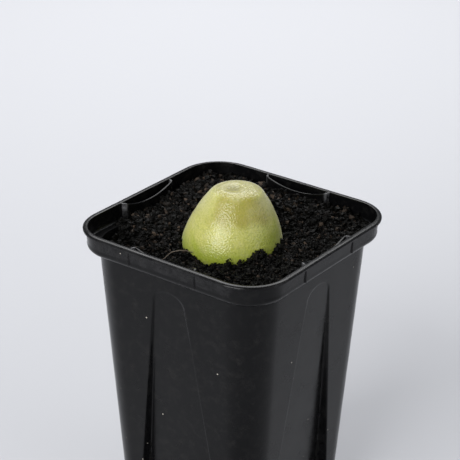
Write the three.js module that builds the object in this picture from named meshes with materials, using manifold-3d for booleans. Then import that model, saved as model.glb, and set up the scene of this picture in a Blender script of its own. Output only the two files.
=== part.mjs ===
// A conophytum in a square black nursery pot filled with fine potting mix.
// Millimetres, +Z up. The origin is the middle of the plane that the pot's feet stand on.
import * as THREE from "three";
import { mergeVertices } from "three/addons/utils/BufferGeometryUtils.js";
import Module from "manifold-3d";

// Pot: rim, lip and collar
const RIM_SIDE = 55;
const POT_HEIGHT = 80;
const WALL = 0.5;
const LIP_HEIGHT = 0.8;
const LIP_OVERHANG = 0.85;
const LIP_ROUND = 0.15;
const LIP_UNDERCUT = 0.05;
const LIP_CORNER = 10.4;
const COLLAR_DEPTH = 5.4;
const COLLAR_DRAFT = 0.2;
const COLLAR_ROUND = 1.6;
const COLLAR_CORNER = 9.1;
const LEDGE_DEPTH = 4;
const LEDGE_ROUND = 0.5;
const LEDGE_LIFT = 0.02;

// Pot: tapered wall under the collar
const WALL_HALF_TOP = 24.75;
const WALL_TAPER = 0.0674;
const WALL_CORNER_TOP = 9;
const WALL_CORNER_TAPER = 0.04;

// Pot: the arch-topped panel pressed into each wall
const PANEL_TOP = 9.2;
const PANEL_ARCH_HEIGHT = 3.2;
const PANEL_ARCH_HALF = 4.3;
const PANEL_SPREAD = 0.1355;
const PANEL_STEP = 0.06;
const PANEL_SLOPE = 0.047;

// Pot: the stacking box inside the collar on each side
const BOX_INNER = 24.7;
const BOX_HALF_INNER = 9;
const BOX_HALF_OUTER = 9.6;
const BOX_TOP_DROP = 0.05;
const SCALLOP_HALF = 8.8;
const SCALLOP_SAG = 1.65;

// Pot: raised floor, feet and drain holes
const FOOT_HEIGHT = 2;
const FLOOR_THICKNESS = 1.2;
const ARCHWAY_HALF = 13.2;
const DRAIN_RADIUS = 2.7;
const SLOT_WIDTH = 3;
const SLOT_LENGTH = 10;
const SLOT_PLACE = 11.5;

// How finely curves are divided
const CORNER_STEPS = 10;
const ARCH_STEPS = 8;
const SCALLOP_SIDES = 72;
const DRAIN_SIDES = 24;

// How far a cutter reaches past what it cuts
const OVERCUT = 1;

// Potting mix and the plant's seat in it
const MIX_DROP = 4.4;
const GAP = 0.3;
const DISH_DEPTH = 1.4;
const DISH_INNER = 13.5;
const DISH_OUTER = 20;

// Plant: half-profile of the dome and its buried foot, as [radius, height over the rim plane]
const BODY_PROFILE = [
  [0, -17.5],
  [1.8, -17.1],
  [4.2, -15],
  [7, -12.2],
  [9.6, -9.4],
  [11.2, -7.4],
  [11.65, -5.8],
  [11.5, -4.2],
  [11, -2.4],
  [10.3, -0.4],
  [9.3, 1.7],
  [8.2, 3.8],
  [7, 5.6],
  [5.6, 7.2],
  [4, 8.2],
  [2.1, 8.6],
  [0, 8.7],
];
const BODY_WIDEST = -5;
const BODY_RINGS = 30;
const BODY_SIDES = 48;
const BODY_LEAN = 0.08;
const LEAN_FROM = -1.5;
const LEAN_DIRECTION = THREE.MathUtils.degToRad(36.5);
const FISSURE_DEPTH = 0.4;
const FISSURE_RADIUS = 1.4;
const FISSURE_PLACE = new THREE.Vector2(0.9, -1.1);

const wasm = await Module();
wasm.setup();

// A closed geometry as a solid, with its shared vertices merged and its collapsed faces dropped.
function solidFrom(geometry) {
  geometry.deleteAttribute("normal");
  geometry.deleteAttribute("uv");
  const merged = mergeVertices(geometry, 1e-4);
  const corners = merged.index.array;
  const kept = [];
  for (let i = 0; i < corners.length; i += 3) {
    const [a, b, c] = corners.slice(i, i + 3);
    if (a !== b && b !== c && c !== a) kept.push(a, b, c);
  }
  return new wasm.Manifold(
    new wasm.Mesh({
      numProp: 3,
      vertProperties: new Float32Array(merged.getAttribute("position").array),
      triVerts: new Uint32Array(kept),
    }),
  );
}

// A solid as a named mesh with its own material.
function meshFrom(solid, name, material) {
  const data = solid.getMesh();
  const geometry = new THREE.BufferGeometry();
  geometry.setAttribute(
    "position",
    new THREE.BufferAttribute(data.vertProperties, 3),
  );
  geometry.setIndex(new THREE.BufferAttribute(data.triVerts, 1));
  geometry.computeVertexNormals();
  const mesh = new THREE.Mesh(geometry, material);
  mesh.name = name;
  return mesh;
}

// Calls place(point) on each vertex of a geometry and keeps what it leaves in the point.
function reshape(geometry, place) {
  const positions = geometry.getAttribute("position");
  const point = new THREE.Vector3();
  for (let i = 0; i < positions.count; i += 1) {
    point.fromBufferAttribute(positions, i);
    place(point);
    positions.setXYZ(i, point.x, point.y, point.z);
  }
  return geometry;
}

// The four copies of a solid that stand on the pot's four sides.
function onEachSide(solid) {
  const copies = [0, 90, 180, 270].map((turn) => solid.rotate([0, 0, turn]));
  return copies.reduce((all, copy) => all.add(copy));
}

// A column of rounded squares: each ring is { z, half, corner }, from the lowest to the highest.
function squareColumn(rings) {
  const outline = new THREE.Shape();
  outline.moveTo(2, -1);
  outline.absarc(1, 1, 1, 0, Math.PI / 2);
  outline.absarc(-1, 1, 1, Math.PI / 2, Math.PI);
  outline.absarc(-1, -1, 1, Math.PI, 1.5 * Math.PI);
  outline.absarc(1, -1, 1, 1.5 * Math.PI, 2 * Math.PI);
  const steps = rings.length - 1;
  const geometry = new THREE.ExtrudeGeometry(outline, {
    depth: steps,
    steps,
    bevelEnabled: false,
    curveSegments: CORNER_STEPS,
  });
  return solidFrom(
    reshape(geometry, (point) => {
      const { z, half, corner } = rings[Math.round(point.z)];
      const sideX = Math.sign(point.x);
      const sideY = Math.sign(point.y);
      point.x = sideX * (half - corner) + (point.x - sideX) * corner;
      point.y = sideY * (half - corner) + (point.y - sideY) * corner;
      point.z = z;
    }),
  );
}

// Half-side and corner radius of the wall's outer face at a height, moved inwards by inset.
function wallRing(z, inset) {
  const below = POT_HEIGHT - z;
  return {
    z,
    half: WALL_HALF_TOP - WALL_TAPER * below - inset,
    corner: WALL_CORNER_TOP - WALL_CORNER_TAPER * below - inset,
  };
}

// Outer skin of the pot: wall, shoulder, collar and lip.
function potSkin() {
  const rim = RIM_SIDE / 2;
  const collar = rim - LIP_OVERHANG;
  const under = POT_HEIGHT - COLLAR_DEPTH;
  const lip = POT_HEIGHT - LIP_HEIGHT;
  const ring = (z, inset) => ({
    z,
    half: collar - inset,
    corner: COLLAR_CORNER - inset,
  });
  const lipRing = (z, inset) => ({
    z,
    half: rim - inset,
    corner: LIP_CORNER - inset,
  });
  const round = [0, 30, 60, 90].map((angle) => {
    const turn = THREE.MathUtils.degToRad(angle);
    return ring(
      under + COLLAR_ROUND * (1 - Math.cos(turn)),
      COLLAR_DRAFT + COLLAR_ROUND * (1 - Math.sin(turn)),
    );
  });
  return squareColumn([
    wallRing(0, LIP_ROUND),
    wallRing(LIP_ROUND, 0),
    wallRing(under - LIP_ROUND, 0),
    ...round,
    ring(lip, 0),
    lipRing(lip + LIP_UNDERCUT, LIP_ROUND),
    lipRing(lip + LIP_UNDERCUT + LIP_ROUND, 0),
    lipRing(POT_HEIGHT - LIP_ROUND, 0),
    lipRing(POT_HEIGHT, LIP_ROUND),
  ]);
}

// The panels' cutters: an arch-topped outline whose floor tilts inwards below the arch.
// grow moves the floor and the outline inwards, for the faces behind the outer one.
function panelCutters(grow) {
  const start = POT_HEIGHT - PANEL_TOP;
  const shoulder = start - PANEL_ARCH_HEIGHT;
  const foot = -OVERCUT;
  const archHalf = PANEL_ARCH_HALF + grow;
  const footHalf = archHalf + PANEL_SPREAD * (shoulder - foot);
  const outline = new THREE.Shape();
  outline.moveTo(-footHalf, foot);
  outline.lineTo(footHalf, foot);
  outline.lineTo(archHalf, shoulder);
  outline.absellipse(
    0,
    shoulder,
    archHalf,
    PANEL_ARCH_HEIGHT + grow,
    0,
    Math.PI,
  );
  outline.closePath();
  const geometry = new THREE.ExtrudeGeometry(outline, {
    depth: 1,
    bevelEnabled: false,
    curveSegments: ARCH_STEPS,
  });
  const cutter = solidFrom(
    reshape(geometry, (point) => {
      const z = point.y;
      const depth = PANEL_STEP + PANEL_SLOPE * (start - z);
      const floor = wallRing(z, grow).half - depth;
      // The outline's plane becomes X and Z, and its thickness runs from the floor to far outside.
      point.y = point.z > 0.5 ? -RIM_SIDE : -floor;
      point.z = z;
    }),
  );
  return onEachSide(cutter);
}

// The raised part of the floor: a cross of archways that leaves a foot at each corner.
function floorCross(grow, top) {
  const width = 2 * (ARCHWAY_HALF + grow);
  const arm = solidFrom(new THREE.BoxGeometry(RIM_SIDE, width, 2 * top));
  return arm.add(arm.rotate([0, 0, 90]));
}

// The hollow of the pot, shrunk by inset on every side, from the floor up through the given rings.
function potHollow(inset, topRings) {
  const column = squareColumn([
    wallRing(FLOOR_THICKNESS + inset, WALL + inset),
    ...topRings,
  ]);
  return column
    .subtract(panelCutters(WALL + inset))
    .subtract(
      floorCross(
        FLOOR_THICKNESS + inset,
        FOOT_HEIGHT + FLOOR_THICKNESS + inset,
      ),
    );
}

// The inside of the wall, the ledge and the collar, up past the rim.
function cavity() {
  const ledge = POT_HEIGHT - LEDGE_DEPTH;
  const collar = RIM_SIDE / 2 - LIP_OVERHANG - WALL;
  const ring = (z, inset) => ({
    z,
    half: collar - inset,
    corner: COLLAR_CORNER - WALL - inset,
  });
  const diagonal = 1 - Math.SQRT1_2;
  return potHollow(0, [
    wallRing(ledge, WALL),
    ring(ledge + LEDGE_LIFT, COLLAR_DRAFT + LEDGE_ROUND),
    ring(
      ledge + diagonal * LEDGE_ROUND,
      COLLAR_DRAFT + diagonal * LEDGE_ROUND,
    ),
    ring(ledge + LEDGE_ROUND, COLLAR_DRAFT),
    ring(POT_HEIGHT, 0),
    ring(POT_HEIGHT + OVERCUT, 0),
  ]);
}

// A stacking box: an inner wall with a scalloped top edge, and an end wall at each end of it.
function stackingBoxes() {
  const outer = RIM_SIDE / 2 - LIP_OVERHANG - WALL / 2;
  const bottom = POT_HEIGHT - LEDGE_DEPTH - WALL / 2;
  const plan = new THREE.Shape();
  plan.moveTo(-BOX_HALF_OUTER, -outer);
  plan.lineTo(-BOX_HALF_INNER, -BOX_INNER);
  plan.lineTo(BOX_HALF_INNER, -BOX_INNER);
  plan.lineTo(BOX_HALF_OUTER, -outer);
  plan.lineTo(BOX_HALF_OUTER - WALL, -outer);
  plan.lineTo(BOX_HALF_INNER - WALL, -BOX_INNER - WALL);
  plan.lineTo(WALL - BOX_HALF_INNER, -BOX_INNER - WALL);
  plan.lineTo(WALL - BOX_HALF_OUTER, -outer);
  plan.closePath();
  const walls = new THREE.ExtrudeGeometry(plan, {
    depth: POT_HEIGHT - BOX_TOP_DROP - bottom,
    bevelEnabled: false,
  });
  walls.translate(0, 0, bottom);
  const radius = (SCALLOP_HALF ** 2 + SCALLOP_SAG ** 2) / (2 * SCALLOP_SAG);
  const scallop = new THREE.CylinderGeometry(
    radius,
    radius,
    3 * WALL,
    SCALLOP_SIDES,
  );
  scallop.translate(
    0,
    -BOX_INNER - WALL / 2,
    POT_HEIGHT - SCALLOP_SAG + radius,
  );
  return onEachSide(solidFrom(walls).subtract(solidFrom(scallop)));
}

// The drain holes: one in the middle of the floor and a slot towards each side.
function drainHoles() {
  const depth = 2 * (FOOT_HEIGHT + 2 * FLOOR_THICKNESS);
  const middle = new THREE.CylinderGeometry(
    DRAIN_RADIUS,
    DRAIN_RADIUS,
    depth,
    DRAIN_SIDES,
  );
  middle.rotateX(Math.PI / 2);
  const slot = new THREE.BoxGeometry(SLOT_LENGTH, SLOT_WIDTH, depth);
  slot.translate(0, -SLOT_PLACE, 0);
  return solidFrom(middle).add(onEachSide(solidFrom(slot)));
}

// The whole pot as one moulding.
function pot() {
  const skin = potSkin();
  return skin
    .subtract(panelCutters(0))
    .subtract(cavity())
    .add(stackingBoxes().intersect(skin))
    .subtract(floorCross(0, FOOT_HEIGHT))
    .subtract(drainHoles());
}

// The plant's body, grown by gap all round where the mix makes room for it.
function plantBody(gap) {
  const points = BODY_PROFILE.map(([radius, height]) => {
    const along = Math.sign(height - BODY_WIDEST) * gap;
    const wide = radius > 0 ? gap : 0;
    return new THREE.Vector2(radius + wide, POT_HEIGHT + height + along);
  });
  const curve = new THREE.SplineCurve(points).getPoints(BODY_RINGS);
  curve[0].x = 0;
  curve[BODY_RINGS].x = 0;
  const geometry = new THREE.LatheGeometry(curve, BODY_SIDES);
  geometry.rotateX(Math.PI / 2);
  return solidFrom(
    reshape(geometry, (point) => {
      const lean = BODY_LEAN * (point.z - POT_HEIGHT - LEAN_FROM);
      const away = Math.hypot(
        point.x - FISSURE_PLACE.x,
        point.y - FISSURE_PLACE.y,
      );
      if (point.z > POT_HEIGHT) {
        point.z -= FISSURE_DEPTH * Math.exp(-((away / FISSURE_RADIUS) ** 2));
      }
      point.x += lean * Math.cos(LEAN_DIRECTION);
      point.y += lean * Math.sin(LEAN_DIRECTION);
    }),
  );
}

// The potting mix: it fills the hollow, dips round the plant and leaves room for it.
function pottingMix() {
  const level = POT_HEIGHT - MIX_DROP;
  const dish = new THREE.LatheGeometry(
    [
      new THREE.Vector2(0, level - DISH_DEPTH),
      new THREE.Vector2(DISH_INNER, level - DISH_DEPTH),
      new THREE.Vector2(DISH_OUTER, level),
      new THREE.Vector2(DISH_OUTER, level + OVERCUT),
      new THREE.Vector2(0, level + OVERCUT),
    ],
    BODY_SIDES,
  );
  dish.rotateX(Math.PI / 2);
  return potHollow(GAP, [wallRing(level, WALL + GAP)])
    .subtract(solidFrom(dish))
    .subtract(plantBody(GAP));
}

const potPlastic = new THREE.MeshStandardMaterial({
  color: 0x1d1d20,
  roughness: 0.3,
  metalness: 0,
});
const mixFiller = new THREE.MeshStandardMaterial({
  color: 0x1c1512,
  roughness: 1,
  metalness: 0,
});
const plantSkin = new THREE.MeshStandardMaterial({
  color: 0xb9c56a,
  roughness: 0.45,
  metalness: 0,
});

const pottedPlant = new THREE.Group();
pottedPlant.add(
  meshFrom(pot(), "pot", potPlastic),
  meshFrom(pottingMix(), "potting_mix", mixFiller),
  meshFrom(plantBody(0), "conophytum_body", plantSkin),
);

export default pottedPlant;
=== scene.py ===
"""A conophytum in a square black nursery pot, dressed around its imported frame.

Sizes are in millimetres and angles in degrees until a mesh is made, which is in metres.
The origin is the middle of the plane that the pot's feet stand on, with +Z up.
"""

import logging
from dataclasses import dataclass, field
from enum import Enum

import bpy
import numpy as np
from mathutils import Matrix, Vector


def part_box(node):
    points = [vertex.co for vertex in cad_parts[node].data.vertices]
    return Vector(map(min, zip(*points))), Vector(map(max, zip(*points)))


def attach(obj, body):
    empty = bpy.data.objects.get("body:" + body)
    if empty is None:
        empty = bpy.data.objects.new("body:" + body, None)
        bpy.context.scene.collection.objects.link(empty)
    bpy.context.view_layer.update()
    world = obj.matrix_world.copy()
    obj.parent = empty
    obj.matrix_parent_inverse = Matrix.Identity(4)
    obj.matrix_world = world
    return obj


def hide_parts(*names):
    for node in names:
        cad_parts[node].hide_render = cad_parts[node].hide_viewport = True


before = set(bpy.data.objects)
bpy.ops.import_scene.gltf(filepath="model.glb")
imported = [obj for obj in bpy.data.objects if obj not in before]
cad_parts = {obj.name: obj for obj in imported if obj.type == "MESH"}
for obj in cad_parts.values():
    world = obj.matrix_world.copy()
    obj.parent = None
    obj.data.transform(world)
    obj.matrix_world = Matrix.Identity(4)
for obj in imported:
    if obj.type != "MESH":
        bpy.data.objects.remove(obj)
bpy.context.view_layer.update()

log = logging.getLogger("potted_conophytum")

MM = 0.001
BODY = "root"

# Edges bent by more degrees than this stay sharp; the smooth bodies need a higher limit.
SHARP_ANGLE = 35
SMOOTH_ANGLE = 80


class SkinZone(Enum):
    """Zones of the plant's skin, by the attribute that holds each one's share."""

    # Green low down is the skin's own; on the side away from the window light it is painted shade.
    GREEN = "green"
    OLIVE = "olive"
    # Pale painted sheen and highlight on the shoulders, the ridge and the upper sides.
    FROST = "frost"
    SLIT = "slit"


def linear(colour: str) -> tuple[float, float, float, float]:
    """Turns an sRGB hex colour into linear light.

    Args:
        colour: six hex digits after a hash, such as #1d1d20.

    Returns:
        Linear red, green and blue, and an alpha of 1.
    """
    shares = np.array([int(colour[i : i + 2], 16) / 255 for i in (1, 3, 5)])
    low = shares / 12.92
    high = ((shares + 0.055) / 1.055) ** 2.4
    return (*np.where(shares <= 0.04045, low, high).tolist(), 1.0)


def smoothstep(value: np.ndarray) -> np.ndarray:
    """Rises from 0 to 1 as value does, as 3 v squared less 2 v cubed, flat at both ends."""
    share = np.clip(value, 0, 1)
    return share * share * (3 - 2 * share)


def turned(points: np.ndarray, degrees: float) -> np.ndarray:
    """Turns points about the Z axis, anticlockwise seen from above.

    Args:
        points: one point per row.
        degrees: how far they turn.

    Returns:
        The turned points.
    """
    angle = np.radians(degrees)
    cos, sin = np.cos(angle), np.sin(angle)
    turn = np.array([[cos, -sin, 0], [sin, cos, 0], [0, 0, 1]])
    return points @ turn.T


def ripples(x: np.ndarray, y: np.ndarray, length: float, waves: int, seed: int) -> np.ndarray:
    """Soft uneven relief: the mean of plane sine waves with seeded directions and phases.

    Args:
        x: places along X.
        y: places along Y.
        length: the middle wavelength; each wave is up to a third longer or shorter.
        waves: how many waves are summed.
        seed: seed of the random draws.

    Returns:
        Heights of about -1 to 1, in the shape of x.
    """
    draw = np.random.default_rng(seed)
    heading = draw.uniform(0, 2 * np.pi, waves)
    phase = draw.uniform(0, 2 * np.pi, waves)
    pitch = 2 * np.pi / (length * draw.uniform(0.7, 1.3, waves))
    along = np.multiply.outer(x, np.cos(heading)) + np.multiply.outer(y, np.sin(heading))
    return np.sin(along * pitch + phase).sum(axis=-1) * np.sqrt(2 / waves) / 1.5


def grid_faces(rows: int, columns: int, closed: bool = True) -> np.ndarray:
    """Quads between neighbouring rows of a grid whose points are stored row by row.

    Args:
        rows: number of rows.
        columns: number of points in a row.
        closed: True where the last column joins the first.

    Returns:
        One row of four point numbers per quad. It faces the side from which the columns run
        rightwards as the rows climb.
    """
    here = np.arange(columns if closed else columns - 1)
    right = (here + 1) % columns
    base = np.arange(rows - 1)[:, None] * columns
    quads = np.stack([base + here, base + right, base + columns + right, base + columns + here])
    return quads.reshape(4, -1).T


def fan_faces(ring: np.ndarray, tip: int) -> np.ndarray:
    """Triangles from each edge of a closed ring of point numbers to one tip."""
    return np.stack([ring, np.roll(ring, -1), np.full(len(ring), tip)], axis=1)


def put_piece(
    name: str,
    points: np.ndarray,
    faces: list[np.ndarray],
    finish: "Finish",
    sharp: float | None = SHARP_ANGLE,
    zones: dict[str, np.ndarray] | None = None,
) -> bpy.types.Object:
    """Makes one piece from whole arrays, with its finish, and lets it ride on the body.

    Args:
        name: the piece's name.
        points: corner points in millimetres.
        faces: arrays of point numbers, one array for each number of corners.
        finish: what the surface is made of.
        sharp: edges bent by more than this many degrees stay sharp; None leaves facets.
        zones: by name, one number per point, which the finish reads as attributes.

    Returns:
        The new object, at the origin.
    """
    mesh = bpy.data.meshes.new(name)
    corners = np.concatenate([part.ravel() for part in faces]).astype(np.int32)
    counts = np.concatenate([np.full(len(part), part.shape[1]) for part in faces])
    starts = np.concatenate([[0], np.cumsum(counts)[:-1]]).astype(np.int32)
    mesh.vertices.add(len(points))
    mesh.vertices.foreach_set("co", (points * MM).astype(np.float32).ravel())
    mesh.loops.add(len(corners))
    mesh.loops.foreach_set("vertex_index", corners)
    mesh.polygons.add(len(counts))
    mesh.polygons.foreach_set("loop_start", starts)
    mesh.polygons.foreach_set("use_smooth", np.full(len(counts), sharp is not None))
    mesh.update(calc_edges=True)
    if sharp is not None:
        mesh.set_sharp_from_angle(angle=float(np.radians(sharp)))
    for zone, shares in (zones or {}).items():
        mesh.attributes.new(zone, "FLOAT", "POINT")
        mesh.attributes[zone].data.foreach_set("value", shares.astype(np.float32).ravel())
    mesh.materials.append(finish.material())
    piece = bpy.data.objects.new(name, mesh)
    bpy.context.scene.collection.objects.link(piece)
    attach(piece, BODY)
    log.info("%s: %d points, %d faces", name, len(points), len(counts))
    return piece


def add_node(
    tree: bpy.types.NodeTree,
    kind: str,
    values: dict | None = None,
    links: dict | None = None,
    stops: list[tuple[float, str]] | None = None,
    **settings: object,
) -> bpy.types.Node:
    """Adds one node to a material.

    Args:
        tree: the material's node tree.
        kind: the node's type name after ShaderNode.
        values: numbers or colours by input socket.
        links: output sockets by the input socket that they feed.
        stops: places and hex colours of a colour ramp.
        settings: the node's own properties.

    Returns:
        The new node.
    """
    made = tree.nodes.new("ShaderNode" + kind)
    for name, value in settings.items():
        setattr(made, name, value)
    for socket, value in (values or {}).items():
        made.inputs[socket].default_value = value
    for socket, source in (links or {}).items():
        tree.links.new(source, made.inputs[socket])
    if stops:
        elements = made.color_ramp.elements
        for _ in stops[2:]:
            elements.new(0.5)
        for element, (place, colour) in zip(elements, stops):
            element.position = place
            element.color = linear(colour)
    return made


class Finish:
    """What every finish shares: one material, made once, with a Principled shader."""

    slot = ""

    def material(self) -> bpy.types.Material:
        """Gives the finish's material, and makes it the first time.

        Returns:
            The material, named for the finish.
        """
        found = bpy.data.materials.get(type(self).__name__)
        if found:
            return found
        made = bpy.data.materials.new(type(self).__name__)
        made.use_nodes = True
        tree = made.node_tree
        tree.nodes.clear()
        shader = add_node(tree, "BsdfPrincipled")
        output = add_node(tree, "OutputMaterial")
        tree.links.new(shader.outputs["BSDF"], output.inputs["Surface"])
        place = add_node(tree, "TexCoord").outputs["Object"]
        self.dress(tree, shader, place)
        return made

    def dress(
        self, tree: bpy.types.NodeTree, shader: bpy.types.Node, place: bpy.types.NodeSocket
    ) -> None:
        """Sets the shader's sockets and adds the patterns; each finish has its own."""
        raise NotImplementedError


def pattern_scale(size: float) -> float:
    """Texture scale, per metre, at which one feature of a pattern is size millimetres wide."""
    return 1 / (size * MM)


@dataclass(frozen=True)
class MouldedPolypropylene(Finish):
    """Injection-moulded black polypropylene from a polished mould.

    The eye sees a near-black, glossy skin whose reflections waver a little, because the thin
    walls shrank unevenly, with a thin uneven film of dust and a few pale specks. The dust's grain
    and the specks are drawn coarser than real ones, which would be too fine to show. A lighter grey
    is painted in streaks on the lugs' end walls as a painted highlight, where a bright band of
    reflected light shows, and a faint share of the same grey lies over the collar's outside.
    """

    slot = "pot_plastic"
    black: str = "#070708"
    dust: str = "#4a4845"
    speck: str = "#b9b3a8"
    # Grey of a painted highlight on the lugs' end walls, also laid faintly over the collar.
    painted_highlight_grey: str = "#6e6e70"
    roughness: tuple[float, float] = (0.15, 0.3)
    waver_size: float = 9
    smear_size: float = 6
    film_size: float = 2.2
    streak_size: float = 1.3
    speck_spacing: float = 5.2
    speck_share: float = 0.042

    def dress(
        self, tree: bpy.types.NodeTree, shader: bpy.types.Node, place: bpy.types.NodeSocket
    ) -> None:
        """Mixes dust, specks and streaks of painted highlight over black, and wavers the gloss by
        noise.

        Args:
            tree: the material's node tree.
            shader: its Principled shader.
            place: the socket of Object coordinates.
        """
        film = add_node(
            tree,
            "TexNoise",
            {"Scale": pattern_scale(self.film_size), "Detail": 6.0, "Roughness": 0.7},
            {"Vector": place},
        )
        film_mask = add_node(
            tree,
            "MapRange",
            {"From Min": 0.5, "From Max": 0.95, "To Min": 0.0, "To Max": 0.2},
            {"Value": film.outputs["Fac"]},
        )
        dusted = add_node(
            tree,
            "Mix",
            {6: linear(self.black), 7: linear(self.dust)},
            {0: film_mask.outputs[0]},
            data_type="RGBA",
        )
        specks = add_node(
            tree,
            "TexVoronoi",
            {"Scale": pattern_scale(self.speck_spacing)},
            {"Vector": place},
        )
        speck_mask = add_node(
            tree,
            "MapRange",
            {"From Min": self.speck_share, "From Max": self.speck_share * 0.5},
            {"Value": specks.outputs["Distance"]},
        )
        coloured = add_node(
            tree,
            "Mix",
            {7: linear(self.speck)},
            {0: speck_mask.outputs[0], 6: dusted.outputs[2]},
            data_type="RGBA",
        )
        # Painted highlight: the grey share, broken into streaks, lightens the lugs' end walls and
        # faintly the collar.
        painted_highlight_grey = add_node(tree, "Attribute", attribute_name="grey_and_painted_highlight")
        streaks = add_node(
            tree,
            "TexNoise",
            {"Scale": pattern_scale(self.streak_size), "Detail": 5.0, "Roughness": 0.75},
            {"Vector": place},
        )
        streak_share = add_node(
            tree,
            "MapRange",
            {"From Min": 0.35, "From Max": 0.75, "To Min": 0.0, "To Max": 1.0},
            {"Value": streaks.outputs["Fac"]},
        )
        painted_highlight_streaks = add_node(
            tree,
            "Math",
            None,
            {0: painted_highlight_grey.outputs["Fac"], 1: streak_share.outputs[0]},
            operation="MULTIPLY",
        )
        greyed = add_node(
            tree,
            "Mix",
            {7: linear(self.painted_highlight_grey)},
            {0: painted_highlight_streaks.outputs[0], 6: coloured.outputs[2]},
            data_type="RGBA",
        )
        smear = add_node(
            tree,
            "TexNoise",
            {"Scale": pattern_scale(self.smear_size), "Detail": 4.0},
            {"Vector": place},
        )
        low, high = self.roughness
        gloss = add_node(
            tree,
            "MapRange",
            {"From Min": 0.3, "From Max": 0.7, "To Min": low, "To Max": high},
            {"Value": smear.outputs["Fac"]},
        )
        waver = add_node(
            tree,
            "TexNoise",
            {"Scale": pattern_scale(self.waver_size), "Detail": 1.0},
            {"Vector": place},
        )
        bump = add_node(
            tree,
            "Bump",
            {"Strength": 0.12, "Distance": 0.4 * MM},
            {"Height": waver.outputs["Fac"]},
        )
        shader.inputs["IOR"].default_value = 1.49
        shader.inputs["Specular IOR Level"].default_value = 0.2
        tree.links.new(greyed.outputs[2], shader.inputs["Base Color"])
        tree.links.new(gloss.outputs[0], shader.inputs["Roughness"])
        tree.links.new(bump.outputs[0], shader.inputs["Normal"])


@dataclass(frozen=True)
class PeatMix(Finish):
    """Milled peat, fine bark and charcoal, a little damp.

    The eye sees near-black crumbs with brown and grey ones among them, and small glints
    where a crumb's facet is damp.
    """

    slot = "potting_mix"
    dark: str = "#020201"
    middle: str = "#0a0806"
    light: str = "#50443a"
    crumb_size: float = 0.25

    def dress(
        self, tree: bpy.types.NodeTree, shader: bpy.types.Node, place: bpy.types.NodeSocket
    ) -> None:
        """Colours each crumb by its tone, and pits its surface by noise.

        Args:
            tree: the material's node tree.
            shader: its Principled shader.
            place: the socket of Object coordinates.
        """
        tone = add_node(tree, "Attribute", attribute_name="tone")
        grit = add_node(
            tree,
            "TexNoise",
            {"Scale": pattern_scale(self.crumb_size), "Detail": 3.0, "Roughness": 0.7},
            {"Vector": place},
        )
        shade = add_node(
            tree,
            "Math",
            {1: 0.4},
            {0: grit.outputs["Fac"], 2: tone.outputs["Fac"]},
            operation="MULTIPLY_ADD",
        )
        colour = add_node(
            tree,
            "ValToRGB",
            None,
            {"Fac": shade.outputs[0]},
            [(0.25, self.dark), (0.6, self.middle), (1.0, self.light)],
        )
        bump = add_node(
            tree,
            "Bump",
            {"Strength": 0.7, "Distance": 0.15 * MM},
            {"Height": grit.outputs["Fac"]},
        )
        shader.inputs["Roughness"].default_value = 0.5
        shader.inputs["Specular IOR Level"].default_value = 0.1
        tree.links.new(colour.outputs["Color"], shader.inputs["Base Color"])
        tree.links.new(bump.outputs[0], shader.inputs["Normal"])


@dataclass(frozen=True)
class PaleRootlet(Finish):
    """A dried rootlet: a dull straw-brown thread."""

    slot = "potting_mix"
    straw: str = "#7d6f5f"
    bark: str = "#4a4038"
    streak_size: float = 1.5

    def dress(
        self, tree: bpy.types.NodeTree, shader: bpy.types.Node, place: bpy.types.NodeSocket
    ) -> None:
        """Streaks the straw colour a little by noise.

        Args:
            tree: the material's node tree.
            shader: its Principled shader.
            place: the socket of Object coordinates.
        """
        scale = {"Scale": pattern_scale(self.streak_size)}
        streak = add_node(tree, "TexNoise", scale, {"Vector": place})
        colour = add_node(
            tree,
            "ValToRGB",
            None,
            {"Fac": streak.outputs["Fac"]},
            [(0.3, self.bark), (0.7, self.straw)],
        )
        shader.inputs["Roughness"].default_value = 0.6
        tree.links.new(colour.outputs["Color"], shader.inputs["Base Color"])


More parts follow.
